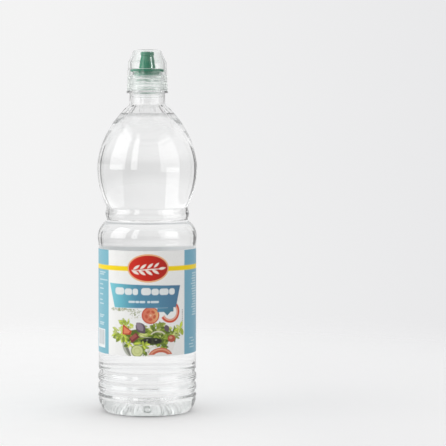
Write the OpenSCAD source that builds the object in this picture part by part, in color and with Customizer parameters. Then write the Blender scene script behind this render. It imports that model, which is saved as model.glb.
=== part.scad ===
// Clear one-litre vinegar bottle with a wrap-round label, a pouring insert and a clear screw cap.
// The origin is on the bottle's axis, in the plane of its standing ring. +Z is up and -Y is the label's front.

/* [Body] */
// Radius of the panel under the label
panel_r = 39; // [34:0.5:46]
// Thickness of the blown wall
wall = 0.35; // [0.25:0.05:0.6]
// Length of the straight panel, from the top groove to the shoulder's bead
panel_l = 98.8; // [80:0.1:120]

/* [Foot and base] */
// Height of the foot, from the standing ring to the lowest land
foot_h = 12.8; // [11.5:0.1:16]
// Radius of the heel's round
heel_r = 13.5; // [10:0.5:14]
// Angle that the heel's round turns through
heel_angle = 50; // [40:1:55]
// Radius of the small round at the standing ring
toe_r = 2; // [1.6:0.1:2.5]
// Width of the flat standing ring
ring_w = 3.6; // [2:0.2:5]
// Height of the hollow under the base, at its centre
punt_h = 11; // [6:0.5:14]
// Thickness of the base at its centre
base_t = 1.2; // [1:0.1:1.8]
// Number of stiffening ribs under the base
rib_n = 12; // [6:1:16]
// Width of one rib
rib_w = 1.8; // [1.2:0.1:2.4]
// How far a rib stands out from the base
rib_h = 1.6; // [0.8:0.1:2]

/* [Grooves above the foot] */
// Number of grooves
groove_n = 3; // [2:1:4]
// Distance from one groove to the next
groove_pitch = 8.05; // [7:0.05:10]
// Depth of a groove, from the lands beside it
groove_d = 1.1; // [0.6:0.1:1.6]
// Width of a groove
groove_w = 6; // [4:0.1:6.8]
// How far the lands stand out from the panel
land_h = 0.4; // [0.2:0.1:1]
// Width of the land below the lowest groove
land_w = 0.4; // [0.2:0.1:1.5]

/* [Shoulder and waist] */
// Distance from the top of the panel up to the shoulder's widest point
shoulder_rise = 5.4; // [4.5:0.1:8]
// How far the shoulder's bead stands out from the panel
shoulder_h = 0.55; // [0.3:0.05:1.5]
// Radius of the shoulder's round
shoulder_r = 16.3; // [14:0.1:20]
// How far the waist is drawn in from the panel
waist_in = 7.2; // [4:0.1:10]
// Distance from the shoulder's widest point up to the middle of the waist
waist_rise = 18.8; // [18:0.2:21]
// How far the ring at the waist stands out from it
bead_h = 1.7; // [0.8:0.1:2.4]
// Radius of the waist ring's round
bead_r = 6.8; // [5:0.1:8]

/* [Bulb] */
// How far the bulb's widest point stands out from the panel
bulb_h = 0.9; // [0:0.1:3]
// Height of the bulb's widest point above the middle of the waist
bulb_rise = 36.2; // [34:0.2:42]
// Radius of the round from the waist up to the widest point
bulb_low_r = 69; // [58:1:80]
// Height from the widest point up to the foot of the neck
bulb_top_h = 49.7; // [46:0.1:60]
// Length of the curve's handle at the widest point
bulb_handle = 14; // [8:1:20]
// Length of the curve's handle at the neck
neck_handle = 21; // [14:1:24]
// Slope of the bulb where it meets the neck
neck_slope = 40; // [35:1:50]

/* [Neck, a standard 28 mm finish] */
// Radius of the bore, which the other sizes of the finish build on
bore_r = 10.87; // [9:0.01:13.1]
// Thickness of the neck below the support ring
neck_t = 3.28; // [2.8:0.01:3.6]
// Radius of the fillet between the bulb and the neck
neck_fillet = 3; // [2:0.1:4]
// Length of the plain neck, from the fillet up to the support ring
neck_l = 7.5; // [4:0.1:12]
// How far the support ring stands out from the neck
support_w = 2.35; // [2:0.05:3]
// Thickness of the support ring's edge
support_t = 1.8; // [1.4:0.1:2.4]
// Height of the finish, from under the support ring to the mouth
finish_h = 17; // [14:0.1:21]
// Thickness of the finish between its threads
finish_t = 1.6; // [1.4:0.01:2]
// Height of the thread above the wall it stands on
thread_h = 1.25; // [0.9:0.01:1.4]
// Rise of the thread in one turn
thread_pitch = 2.7; // [2.5:0.01:3.3]
// Distance from the catching bead up to the lower end of the thread
thread_lift = 2.19; // [1.5:0.01:3]
// Distance from the mouth down to the middle of the thread's top end
thread_drop = 2.6; // [2.4:0.1:3]
// Width of the thread at its foot
thread_w = 1.9; // [1.6:0.1:2.1]
// How far the bead that holds the cap's tamper band stands out from the finish
catch_w = 1.53; // [1.2:0.01:1.6]
// Distance from under the support ring up to the catching bead
catch_z = 4.6; // [4.4:0.1:5]
// Height of the catching bead
catch_h = 1.8; // [1.2:0.1:2]

/* [Fill] */
// Distance from the mouth down to the vinegar's surface
fill_drop = 34.3; // [31:0.1:80]
// Clearance between the vinegar and the wall
fill_gap = 0.05; // [0.02:0.01:0.1]

/* [Label] */
// Distance from the top groove up to the label's lower edge
label_lift = 13.2; // [2:0.1:30]
// Distance from the shoulder's widest point down to the label's top edge
label_drop = 8.7; // [8:0.1:16]
// Thickness of the film
label_t = 0.08; // [0.05:0.01:0.15]
// Clearance between the film and the panel
label_gap = 0.02; // [0.01:0.01:0.05]
// Angle of the glued overlap at the back
seam_angle = 14; // [8:1:24]

/* [Pouring insert] */
// Clearance of the plug in the bore
plug_gap = 0.06; // [0.04:0.01:0.15]
// Depth of the plug in the bore
plug_l = 5; // [3:0.5:8]
// Thickness of the plug's wall
plug_t = 1.1; // [0.8:0.1:1.6]
// How far the flange stands out past the mouth
flange_w = 1.03; // [0.6:0.01:1.1]
// Thickness of the flange
flange_t = 1.9; // [1.5:0.1:2.4]
// Clearance between the flange and the mouth
seat_gap = 0.05; // [0.02:0.01:0.1]
// Height of the spout above the flange
spout_h = 13.6; // [10:0.1:15]
// Radius of the spout at its foot
spout_foot_r = 6.7; // [5.5:0.1:8]
// Radius of the spout under its rim
spout_neck_r = 4.9; // [4:0.1:5.4]
// Radius of the spout's rim
spout_rim_r = 5.4; // [4.8:0.1:6]
// Height of the spout's rim
spout_rim_h = 3.1; // [2:0.1:4]
// Radius of the pouring hole
hole_r = 1.5; // [1:0.1:2]
// Thickness of the spout's wall and of its end
spout_t = 1.2; // [0.8:0.1:1.6]

/* [Screw cap] */
// Thickness of the cap's skirt
skirt_t = 1.93; // [1.4:0.01:2.6]
// Distance from the top of the flange down to the top of the skirt
skirt_drop = 0.45; // [0.2:0.05:1]
// Clearance between the cap and the support ring
cap_gap = 0.1; // [0.05:0.05:0.3]
// How far the tamper band stands out from the skirt
band_w = 0.4; // [0.1:0.05:0.8]
// Height of the tamper band
band_h = 4.7; // [4:0.1:5.2]
// Height of the slit above the tamper band
slit_h = 0.35; // [0.3:0.05:0.6]
// Number of bridges across the slit
bridge_n = 10; // [6:1:16]
// How far the drum above the skirt is set in from it
drum_in = 0.45; // [0.3:0.05:0.7]
// Height of the drum
drum_h = 6.4; // [5:0.1:8]
// Width of the step from the drum to the dome's foot
dome_step = 0.65; // [0.4:0.05:1]
// How far the dome's side leans in from its foot to its top
dome_lean = 3.4; // [2.4:0.1:4]
// Width of the round between the dome's side and its flat top
dome_round = 2.4; // [1.8:0.1:3]
// Thickness of the dome
dome_t = 1.1; // [0.8:0.1:1.4]
// Clearance between the spout and the inside of the dome
spout_gap = 0.7; // [0.4:0.1:2]
// Clearance between the cap and the thread it screws on
screw_gap = 0.25; // [0.2:0.05:0.35]

/* [Hidden] */
$fn = 96;

// Curves are drawn as short straight steps of these lengths and turns.
arc_step = 6;
curve_steps = 20;
punt_steps = 16;
profile_step = 1.15;
groove_step = 0.75;
thread_steps = 36;
// Softness of the hollows between one round and the next
blend = 0.8;
// How deep a rib or a thread is sunk into the wall it stands on
root = 0.3;
// Small and larger bevels on moulded edges
edge = 0.3;
bevel = 0.5;
// The wall starts to thicken this far below the foot of the neck, over this height
thicken_drop = 6;
thicken_h = 9;
// Size of the fillet under the support ring
ring_fillet = 0.6;
// Height of the catching bead's edge, and how far the tamper band's lip reaches in past it
catch_edge = 0.4;
catch_grip = 0.4;
// Distance from the catching bead down to the lip under it
lip_drop = 1.2;
// Sizes of the fillets at the flange's seat and at the spout's foot, and of the round on its rim
seat_fillet = 0.2;
foot_fillet = 1;
rim_round = 0.8;
// Height of the slope above the spout's hollow
hollow_slope = 0.6;
// Height of the round on the dome's top, its steps, and the size of the round inside it
dome_round_h = 1.7;
dome_round_step = 30;
dome_inner_round = 1;
// Small steps on the outside of the cap, where one part of it meets the next
cap_step = 0.2;
// Width of a bridge, and how far a cutter reaches past what it cuts
bridge_w = 1;
reach = 1;
// Play between the two threads, and how much shorter the cap's thread is, in turns
thread_play = 0.1;
turns_less = 0.5;
// A base rib starts and ends at these shares of the standing ring's inner radius
rib_start = 0.16;
rib_end = 0.9;

foot_r = panel_r;
ring_out_r = foot_r - heel_r * (1 - cos(heel_angle)) - toe_r * cos(heel_angle);
ring_in_r = ring_out_r - ring_w;
heel_z = toe_r * (1 - sin(heel_angle)) + heel_r * sin(heel_angle);
land_ramp = 1.5;
groove_z0 = foot_h + land_w + groove_w / 2;
groove_z = [for (k = [0:groove_n - 1]) groove_z0 + k * groove_pitch];
land_top_z = groove_z[groove_n - 1];
groove_top_z = land_top_z + groove_w / 2;

panel_top_z = groove_top_z + panel_l;
shoulder_z = panel_top_z + shoulder_rise;
waist_z = shoulder_z + waist_rise;
waist_r = panel_r - waist_in;
bulb_z = waist_z + bulb_rise;
bulb_r = panel_r + bulb_h;
neck_z = bulb_z + bulb_top_h;
fillet_z = neck_z + neck_fillet * sin(90 - neck_slope);
support_z = fillet_z + neck_l;
mouth_z = support_z + finish_h;
fill_z = mouth_z - fill_drop;

neck_r = bore_r + neck_t;
support_r = neck_r + support_w;
finish_r = bore_r + finish_t;
thread_r = finish_r + thread_h;
catch_r = finish_r + catch_w;
thread_turns = (finish_h - catch_z - catch_h - thread_lift - thread_drop - thread_w / 2) / thread_pitch;

label_top_z = shoulder_z - label_drop;
label_low_z = groove_top_z + label_lift;
label_r = panel_r + label_gap;

flange_z = mouth_z + seat_gap;
flange_top_z = flange_z + flange_t;
flange_r = finish_r + flange_w;
spout_top_z = flange_top_z + spout_h;

band_z = support_z + support_t + cap_gap;
skirt_top_z = flange_top_z - skirt_drop;
drum_top_z = skirt_top_z + drum_h;
dome_top_z = spout_top_z + spout_gap + dome_t;
inside_r = thread_r + screw_gap;
skirt_r = inside_r + skirt_t;
band_r = skirt_r + band_w;
drum_r = skirt_r - drum_in;
dome_foot_r = drum_r - dome_step;
dome_top_r = dome_foot_r - dome_lean;
dome_flat_r = dome_top_r - dome_round;
drum_in_r = dome_foot_r - dome_t * 1.6;

// ---- Curves ----

function ease(x) = let (t = min(1, max(0, x))) t * t * (3 - 2 * t);

// The larger of two heights, with the corner between them rounded off over k
function soft_max(a, b, k) = let (h = max(k - abs(a - b), 0) / k) max(a, b) + h * h * k / 4;

// Radius at height z of a round ring whose widest point is r at height zc
function round_ring(z, r, zc, curve) =
    let (d = min(abs(z - zc), curve)) r - curve + sqrt(curve * curve - d * d);

function arc(cr, cz, r, from, to) =
    let (n = max(2, ceil(abs(to - from) / arc_step)))
    [for (i = [0:n]) let (a = from + (to - from) * i / n) [cr + r * cos(a), cz + r * sin(a)]];

function bezier(a, b, c, d, n) =
    [for (i = [0:n]) let (t = i / n, s = 1 - t)
        s * s * s * a + 3 * s * s * t * b + 3 * s * t * t * c + t * t * t * d];

function stations(from, to, step) =
    let (n = max(1, ceil((to - from) / step))) [for (i = [0:n]) from + (to - from) * i / n];

// ---- Outline of the bottle, from the middle of the base up to the mouth ----

// Height of the hollow under the base, flat at its middle and level with the ring at its edge
function punt(r) = punt_h * (0.5 + 0.5 * cos(180 * pow(r / ring_in_r, 1.5)));

function groove(z, zc) = let (d = abs(z - zc)) d < groove_w / 2 ? 0.5 + 0.5 * cos(360 * d / groove_w) : 0;

function ribbed_r(z) =
    let (low = ease((z - foot_h + land_ramp) / land_ramp), high = ease((z - land_top_z) / land_ramp))
    panel_r + land_h * (low - high) - groove_d * max([for (zc = groove_z) groove(z, zc)]);

function waisted_r(z) =
    let (shoulder = soft_max(panel_r, round_ring(z, panel_r + shoulder_h, shoulder_z, shoulder_r), blend / 2),
         below = z < shoulder_z ? shoulder : round_ring(z, panel_r + shoulder_h, shoulder_z, shoulder_r),
         bead = round_ring(z, waist_r + bead_h, waist_z, bead_r),
         bulb = round_ring(z, bulb_r, bulb_z, bulb_low_r))
    soft_max(soft_max(below, bead, blend), soft_max(bulb, waist_r, blend), blend);

base_line = [for (i = [0:punt_steps]) let (r = ring_in_r * i / punt_steps) [r, punt(r)]];
heel_line = concat(
    arc(ring_out_r, toe_r, toe_r, -90, -heel_angle),
    arc(foot_r - heel_r, heel_z, heel_r, -heel_angle + arc_step, 0));
rib_line = [for (z = stations(foot_h - land_ramp, groove_top_z, groove_step)) [ribbed_r(z), z]];
waist_line = [for (z = stations(panel_top_z, bulb_z, profile_step)) [waisted_r(z), z]];
bulb_line = bezier(
    [bulb_r, bulb_z],
    [bulb_r, bulb_z + bulb_handle],
    [neck_r + neck_fillet * (1 - cos(90 - neck_slope)) + neck_handle * cos(neck_slope),
        neck_z - neck_handle * sin(neck_slope)],
    [neck_r + neck_fillet * (1 - cos(90 - neck_slope)), neck_z],
    curve_steps);
neck_line = arc(neck_r + neck_fillet, fillet_z, neck_fillet, 270 - neck_slope - arc_step, 180);

body_line = concat(
    base_line,
    heel_line,
    rib_line,
    waist_line,
    [for (i = [1:curve_steps]) bulb_line[i]],
    neck_line);
body_last = len(body_line) - 1;

// Thickness of the wall at height z and radius r: thick at the base and in the neck
function wall_t(r, z) =
    let (in_neck = ease((z - neck_z + thicken_drop) / thicken_h),
         in_base = ease((heel_z - z) / heel_z),
         in_punt = r < ring_out_r)
    z > bulb_z ? wall + (neck_r - bore_r - wall) * in_neck
    : wall + (base_t - wall) * (in_punt ? 1 : in_base);

function unit(v) = v / norm(v);

// The line moved inwards by the wall's thickness and a further gap, square to the line
function inner_line(gap) =
    [for (i = [0:body_last])
        let (p = body_line[i],
             along = i == 0 ? [1, 0] : unit(body_line[min(i + 1, body_last)] - body_line[i - 1]),
             t = wall_t(p[0], p[1]) + gap)
        [max(0, p[0] - along[1] * t), p[1] + along[0] * t]];

inner_wall = inner_line(0);

finish_line = [
    [neck_r, support_z - ring_fillet],
    [neck_r + ring_fillet, support_z],
    [support_r - edge, support_z],
    [support_r, support_z + edge],
    [support_r, support_z + support_t - edge],
    [support_r - edge, support_z + support_t],
    [finish_r + edge, support_z + support_t],
    [finish_r + edge, support_z + catch_z - catch_edge],
    [catch_r, support_z + catch_z],
    [catch_r, support_z + catch_z + catch_edge],
    [finish_r, support_z + catch_z + catch_h],
    [finish_r, mouth_z - bevel],
    [finish_r - bevel, mouth_z],
    [bore_r + edge, mouth_z],
    [bore_r, mouth_z - edge]
];

// ---- Threads ----

// A helical ridge of trapezoid section. Its root is sunk into the wall and it fades in and out at its ends.
// wall_r is the wall's radius and crest_r the ridge's, outside or inside it. Its top end is at angle 0 and height z.
module thread(wall_r, crest_r, foot_w, crest_w, z, turns) {
    side = sign(crest_r - wall_r);
    n = ceil(turns * thread_steps);
    fade = thread_steps / 8;
    hidden_r = wall_r - side * root;
    rings = [for (i = [0:n])
        let (a = 360 * (i - n) / thread_steps,
             zi = z - thread_pitch * (n - i) / thread_steps,
             grow = ease(min(i, n - i) / fade),
             top_r = wall_r - side * root / 2 + (crest_r - wall_r + side * root / 2) * grow,
             half = crest_w / 2 + (foot_w - crest_w) / 2 * (1 - grow) * 0.5)
        each [
            [hidden_r * cos(a), hidden_r * sin(a), zi - foot_w / 2],
            [top_r * cos(a), top_r * sin(a), zi - half],
            [top_r * cos(a), top_r * sin(a), zi + half],
            [hidden_r * cos(a), hidden_r * sin(a), zi + foot_w / 2]
        ]];
    sides = [for (i = [0:n - 1], k = [0:3])
        let (a = 4 * i + k, b = 4 * i + (k + 1) % 4)
        each side > 0 ? [[a, b, b + 4], [a, b + 4, a + 4]] : [[b, a, a + 4], [b, a + 4, b + 4]]];
    last = 4 * n;
    ends = side > 0
        ? [[3, 2, 1], [3, 1, 0], [last, last + 1, last + 2], [last, last + 2, last + 3]]
        : [[1, 2, 3], [0, 1, 3], [last + 2, last + 1, last], [last + 3, last + 2, last]];
    polyhedron(points = rings, faces = concat(sides, ends), convexity = 6);
}

// ---- Pieces ----

module base_ribs() {
    line = [for (r = stations(rib_start * ring_in_r, rib_end * ring_in_r, ring_in_r / rib_n)) [r, punt(r)]];
    n = len(line) - 1;
    rib = concat(
        [for (i = [0:n]) line[i] + [0, root * 2]],
        [for (i = [0:n]) let (k = n - i) line[k] - [0, min(rib_h, line[k][1] * 0.7) * sin(180 * k / n)]]);
    for (k = [0:rib_n - 1]) {
        rotate([0, 0, 360 * (k + 0.5) / rib_n])
            rotate([90, 0, 0])
                translate([0, 0, -rib_w / 2])
                    linear_extrude(height = rib_w)
                        polygon(rib);
    }
}

module bottle() {
    color([0.86, 0.9, 0.9, 0.35]) {
        rotate_extrude()
            polygon(concat(body_line, finish_line, [for (i = [0:body_last]) inner_wall[body_last - i]]));
        thread(finish_r, thread_r, thread_w, thread_w / 2, mouth_z - thread_drop, thread_turns);
        base_ribs();
    }
}

// What is poured in: it follows the inside of the wall up to the fill line
module vinegar() {
    line = inner_line(fill_gap);
    wet = [for (p = line) if (p[1] < fill_z - edge) p];
    r_by_height = [for (p = line) if (p[1] > fill_z / 2) [p[1], p[0]]];
    color([0.9, 0.94, 0.94, 0.3])
        rotate_extrude()
            polygon(concat(wet, [[lookup(fill_z, r_by_height), fill_z], [0, fill_z]]));
}

module sleeve(inner_r, outer_r, from, angle) {
    rotate([0, 0, from])
        rotate_extrude(angle = angle)
            translate([inner_r, label_low_z])
                square([outer_r - inner_r, label_top_z - label_low_z]);
}

// One turn of film round the panel, its end lapped over its start at the back
module label() {
    color([0.93, 0.93, 0.93]) {
        sleeve(label_r, label_r + label_t, 0, 360);
        sleeve(label_r + label_t / 2, label_r + 2 * label_t, 90 - seam_angle / 2, seam_angle);
    }
}

// A plug in the bore, a flange on the mouth, and a tapered spout with a rim and a small pouring hole
module pourer() {
    plug_r = bore_r - plug_gap;
    rim_z = spout_top_z - spout_rim_h;
    hollow_foot_r = spout_foot_r - spout_t;
    hollow_neck_r = spout_neck_r - spout_t;
    color([0.1, 0.42, 0.28])
        rotate_extrude()
            polygon([
                [hole_r, spout_top_z],
                [hole_r, spout_top_z - spout_t],
                [hollow_neck_r, spout_top_z - spout_t - hollow_slope],
                [hollow_neck_r, rim_z],
                [hollow_foot_r, flange_top_z + foot_fillet],
                [hollow_foot_r, flange_z],
                [plug_r - plug_t, flange_z],
                [plug_r - plug_t, mouth_z - plug_l],
                [plug_r - bevel, mouth_z - plug_l],
                [plug_r, mouth_z - plug_l + 2 * bevel],
                [plug_r, flange_z - seat_fillet],
                [plug_r + seat_fillet, flange_z],
                [flange_r - edge, flange_z],
                [flange_r, flange_z + edge],
                [flange_r, flange_top_z - bevel],
                [flange_r - bevel, flange_top_z],
                [spout_foot_r + rim_round, flange_top_z],
                [spout_foot_r, flange_top_z + foot_fillet],
                [spout_neck_r, rim_z - bevel],
                [spout_rim_r, rim_z],
                [spout_rim_r, spout_top_z - rim_round],
                [spout_rim_r - rim_round, spout_top_z]
            ]);
}

// Clear screw cap: a tamper band on bridges, a threaded skirt, a drum, and a dome over the spout
module cap() {
    lip_r = catch_r - catch_grip;
    lip_z = support_z + catch_z - lip_drop;
    flange_seat_z = flange_top_z + seat_gap;
    slit_z = band_z + band_h;
    dome_top_line = [for (a = [90:-dome_round_step:0])
        [dome_flat_r + dome_round * cos(a), dome_top_z - dome_round_h * (1 - sin(a))]];
    color([0.88, 0.92, 0.92, 0.35]) {
        difference() {
            rotate_extrude()
                polygon(concat([[0, dome_top_z]], dome_top_line, [
                    [dome_foot_r, drum_top_z + cap_step],
                    [drum_r - cap_step, drum_top_z],
                    [drum_r, drum_top_z - edge],
                    [drum_r, skirt_top_z + cap_step / 2],
                    [skirt_r, skirt_top_z - edge],
                    [skirt_r, slit_z + slit_h],
                    [skirt_r, slit_z + slit_h / 2],
                    [band_r, slit_z],
                    [band_r, band_z + edge],
                    [band_r - edge, band_z],
                    [lip_r + 2 * catch_grip, band_z],
                    [lip_r, lip_z - bevel],
                    [lip_r, lip_z],
                    [catch_r + screw_gap, lip_z + bevel],
                    [catch_r + screw_gap, slit_z - cap_step],
                    [inside_r, slit_z],
                    [inside_r, flange_seat_z],
                    [drum_in_r, flange_seat_z],
                    [drum_in_r, drum_top_z - bevel],
                    [dome_top_r - dome_t, dome_top_z - dome_t - dome_inner_round],
                    [dome_top_r - dome_t - dome_inner_round, dome_top_z - dome_t],
                    [0, dome_top_z - dome_t]
                ]));
            difference() {
                translate([0, 0, slit_z + cap_step / 10])
                    cylinder(h = slit_h, r = band_r + reach);
                for (k = [0:bridge_n - 1]) {
                    rotate([0, 0, 360 * k / bridge_n])
                        translate([inside_r + skirt_t * 0.4, -bridge_w / 2, slit_z - reach])
                            cube([skirt_r, bridge_w, slit_h + 2 * reach]);
                }
            }
        }
        thread(inside_r, finish_r + screw_gap, thread_pitch - thread_w / 2 - edge,
            thread_pitch - thread_w - thread_play, mouth_z - thread_drop - thread_pitch / 2,
            thread_turns - turns_less);
    }
}

bottle();
vinegar();
label();
pourer();
cap();
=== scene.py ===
"""The looks of the one-litre vinegar bottle: bottle, vinegar, label, pouring insert and cap.

Lengths are in millimetres until a surface is made, which turns them into metres.
Angles run anticlockwise from +X."""
import math

import bpy
import numpy as np
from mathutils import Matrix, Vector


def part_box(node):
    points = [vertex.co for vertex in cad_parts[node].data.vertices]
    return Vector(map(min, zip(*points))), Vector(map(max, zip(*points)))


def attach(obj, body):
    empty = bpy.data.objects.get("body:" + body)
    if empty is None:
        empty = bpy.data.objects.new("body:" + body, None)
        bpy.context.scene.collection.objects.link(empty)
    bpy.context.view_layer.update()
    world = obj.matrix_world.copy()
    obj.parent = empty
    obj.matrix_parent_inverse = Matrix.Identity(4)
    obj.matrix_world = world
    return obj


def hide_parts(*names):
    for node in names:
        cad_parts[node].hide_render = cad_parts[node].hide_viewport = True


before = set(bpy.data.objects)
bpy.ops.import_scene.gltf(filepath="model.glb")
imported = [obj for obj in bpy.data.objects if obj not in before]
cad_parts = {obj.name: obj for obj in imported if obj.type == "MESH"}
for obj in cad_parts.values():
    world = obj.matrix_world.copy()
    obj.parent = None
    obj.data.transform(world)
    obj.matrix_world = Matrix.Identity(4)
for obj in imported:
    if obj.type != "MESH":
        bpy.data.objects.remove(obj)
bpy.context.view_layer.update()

MM = 0.001
scene = bpy.context.scene


def srgb(red, green, blue):
    """Linear colour of a screen colour given in 0 to 255."""
    c = np.array([red, green, blue], float) / 255
    return tuple(np.where(c <= 0.04045, c / 12.92, ((c + 0.055) / 1.055) ** 2.4))


# ---- Camera ----

camera_data = bpy.data.cameras.new("camera")
camera = bpy.data.objects.new("camera", camera_data)
scene.collection.objects.link(camera)
camera.location = (0, -1.317, 0.2196)
camera.rotation_euler = (math.radians(87), 0, 0)
camera_data.lens = 133.18
camera_data.sensor_width = 36
camera_data.shift_x = 0.1697
scene.camera = camera

# ---- Sizes read from the frame ----


def low(node, axis=2):
    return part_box(node)[0][axis] / MM


def high(node, axis=2):
    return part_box(node)[1][axis] / MM


fill_z = high("vinegar")
label_low_z, label_top_z = low("label"), high("label")
band_z, cap_top_z = low("cap"), high("cap")
plug_l, finish_h = 5, 17
mouth_z = low("pourer") + plug_l
support_z = mouth_z - finish_h
spout_top_z = high("pourer")

# The bottle's own sizes
panel_r = 39.0
wall, base_t, neck_wall = 0.35, 1.2, 1.3
foot_h, heel_r, heel_angle, toe_r, ring_w, punt_h = 12.8, 13.5, 50.0, 2.0, 3.6, 11.0
heel_cos, heel_sin = math.cos(math.radians(heel_angle)), math.sin(math.radians(heel_angle))
ring_out_r = panel_r - heel_r * (1 - heel_cos) - toe_r * heel_cos
ring_in_r = ring_out_r - ring_w
heel_z = toe_r * (1 - heel_sin) + heel_r * heel_sin
groove_n, groove_pitch, groove_d, groove_w = 3, 8.05, 1.1, 6.0
land_h, land_w, land_ramp = 0.4, 0.4, 1.5
groove_z = [foot_h + groove_w / 2 + land_w + k * groove_pitch for k in range(groove_n)]
land_top_z = groove_z[-1]
label_drop, shoulder_rise, shoulder_h, shoulder_r = 8.7, 5.4, 0.55, 16.3
shoulder_z = label_top_z + label_drop
panel_top_z = shoulder_z - shoulder_rise
waist_rise, waist_r = 18.8, 31.8
waist_z = shoulder_z + waist_rise
bead_h, bead_r = 1.7, 6.8
bulb_rise, bulb_h, bulb_low_r, bulb_top_h = 36.2, 0.9, 69.0, 49.7
bulb_z, bulb_r = waist_z + bulb_rise, panel_r + bulb_h
neck_z = bulb_z + bulb_top_h
bulb_handle, neck_handle, neck_slope, neck_r, neck_fillet = 14.0, 21.0, math.radians(40), 14.15, 3.0
fillet_z = neck_z + neck_fillet * math.cos(neck_slope)
support_r, support_t = 16.5, 1.8
finish_r, bore_r = 12.47, 10.87
thread_r, thread_pitch, thread_w, thread_drop, thread_turns = 13.72, 2.7, 1.9, 2.6, 1.8
catch_r, catch_z, catch_h = 14.0, 4.6, 1.8
rib_n, rib_w, rib_h, rib_edge, rib_start, rib_reach = 12, 1.8, 0.5, 0.7, 0.16, 0.74

# ---- Building surfaces ----


def surface(name, points, closed_rows=False, first_pole=False, last_pole=False, colours=None, layer="print"):
    """A mesh from a grid of points (rows, columns, xyz) in millimetres, whose columns close on themselves.

    With closed_rows the last row joins the first. A pole is a row whose points are one point. Faces look
    outward when the rows climb the outside and the columns run anticlockwise seen from above."""
    rows, columns = points.shape[:2]
    number = np.arange(rows * columns).reshape(rows, columns)
    keep = np.ones(rows * columns, bool)
    for is_pole, row in ((first_pole, 0), (last_pole, rows - 1)):
        if is_pole:
            keep[number[row, 1:]] = False
            number[row] = number[row, 0]
    new_number = np.cumsum(keep) - 1
    number = new_number[number]
    upper = np.roll(number, -1, 0) if closed_rows else number[1:]
    lower = number if closed_rows else number[:-1]
    quads = np.stack([lower, np.roll(lower, -1, 1), np.roll(upper, -1, 1), upper], -1)
    corners, counts = [], []
    body = quads[int(first_pole): len(quads) - int(last_pole)]
    if first_pole:
        corners.append(quads[0][:, [0, 2, 3]].ravel())
        counts.append(np.full(columns, 3))
    corners.append(body.reshape(-1))
    counts.append(np.full(body.size // 4, 4))
    if last_pole:
        corners.append(quads[-1][:, [0, 1, 3]].ravel())
        counts.append(np.full(columns, 3))
    corners, counts = np.concatenate(corners), np.concatenate(counts)
    mesh = bpy.data.meshes.new(name)
    spots = points.reshape(-1, 3)[keep] * MM
    mesh.vertices.add(len(spots))
    mesh.vertices.foreach_set("co", spots.astype(np.float32).ravel())
    mesh.loops.add(len(corners))
    mesh.loops.foreach_set("vertex_index", corners.astype(np.int32))
    mesh.polygons.add(len(counts))
    mesh.polygons.foreach_set("loop_start", (np.cumsum(counts) - counts).astype(np.int32))
    mesh.polygons.foreach_set("use_smooth", np.ones(len(counts), bool))
    if colours is not None:
        paint = mesh.color_attributes.new(layer, "FLOAT_COLOR", "POINT")
        rgba = np.ones((len(spots), 4), np.float32)
        rgba[:, :colours.shape[-1]] = colours.reshape(len(keep), -1)[keep]
        paint.data.foreach_set("color", rgba.ravel())
    mesh.update()
    mesh.validate()
    piece = bpy.data.objects.new(name, mesh)
    scene.collection.objects.link(piece)
    return piece


def turned(radius, height, angles):
    """Points of a lathe. Radius and height have one column or as many as angles, which may be one row."""
    a = angles.reshape(-1, angles.shape[-1])
    radius = radius + 0 * a
    return np.stack([radius * np.cos(a), radius * np.sin(a), height + 0 * a], -1)


def rounded(corners, reach=0.25, steps=3):
    """A line through the corners, each cut back by reach, or less on short sides, and bent round."""
    p = np.array(corners, float)
    line = [p[:1]]
    t = np.linspace(0, 1, steps + 2)[:, None]
    for before, at, after in zip(p[:-2], p[1:-1], p[2:]):
        back, on = before - at, after - at
        length_back, length_on = np.linalg.norm(back), np.linalg.norm(on)
        start = at + back / length_back * min(reach, length_back * 0.45)
        end = at + on / length_on * min(reach, length_on * 0.45)
        line.append((1 - t) ** 2 * start + 2 * t * (1 - t) * at + t * t * end)
    line.append(p[-1:])
    return np.concatenate(line)


def finer(line, step):
    """The line with points added so that none is further than step from the next."""
    out = [line[:1]]
    for a, b in zip(line[:-1], line[1:]):
        n = max(1, math.ceil(np.linalg.norm(b - a) / step))
        out.append(a + (b - a) * np.linspace(0, 1, n + 1)[1:, None])
    return np.concatenate(out)


def ease(x):
    t = np.clip(x, 0, 1)
    return t * t * (3 - 2 * t)


def soft_max(a, b, reach):
    h = np.maximum(reach - np.abs(a - b), 0) / reach
    return np.maximum(a, b) + h * h * reach / 4


def round_ring(z, r, zc, curve):
    d = np.minimum(np.abs(z - zc), curve)
    return r - curve + np.sqrt(curve * curve - d * d)


def arc(r_mid, z_mid, r, start, end, step=4):
    a = np.radians(np.linspace(start, end, max(3, int(abs(end - start) / step) + 1)))
    return np.stack([r_mid + r * np.cos(a), z_mid + r * np.sin(a)], -1)


# ---- The bottle's outline ----


def punt(r):
    return punt_h * (0.5 + 0.5 * np.cos(np.pi * np.clip(r / ring_in_r, 0, 1) ** 1.5))


def ribbed_r(z):
    off = [np.minimum(np.abs(z - zc), groove_w / 2) for zc in groove_z]
    dips = [0.5 + 0.5 * np.cos(2 * np.pi * away / groove_w) for away in off]
    lands = ease((z - foot_h + land_ramp) / land_ramp) - ease((z - land_top_z) / land_ramp)
    return panel_r + land_h * lands - groove_d * np.max(dips, 0)


def waisted_r(z):
    shoulder = round_ring(z, panel_r + shoulder_h, shoulder_z, shoulder_r)
    below = np.where(z < shoulder_z, soft_max(panel_r + 0 * z, shoulder, 0.4), shoulder)
    bead = round_ring(z, waist_r + bead_h, waist_z, bead_r)
    bulb = round_ring(z, bulb_r, bulb_z, bulb_low_r)
    return soft_max(soft_max(below, bead, 2.6), soft_max(bulb, waist_r + 0 * z, 1.4), 1.6)


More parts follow.
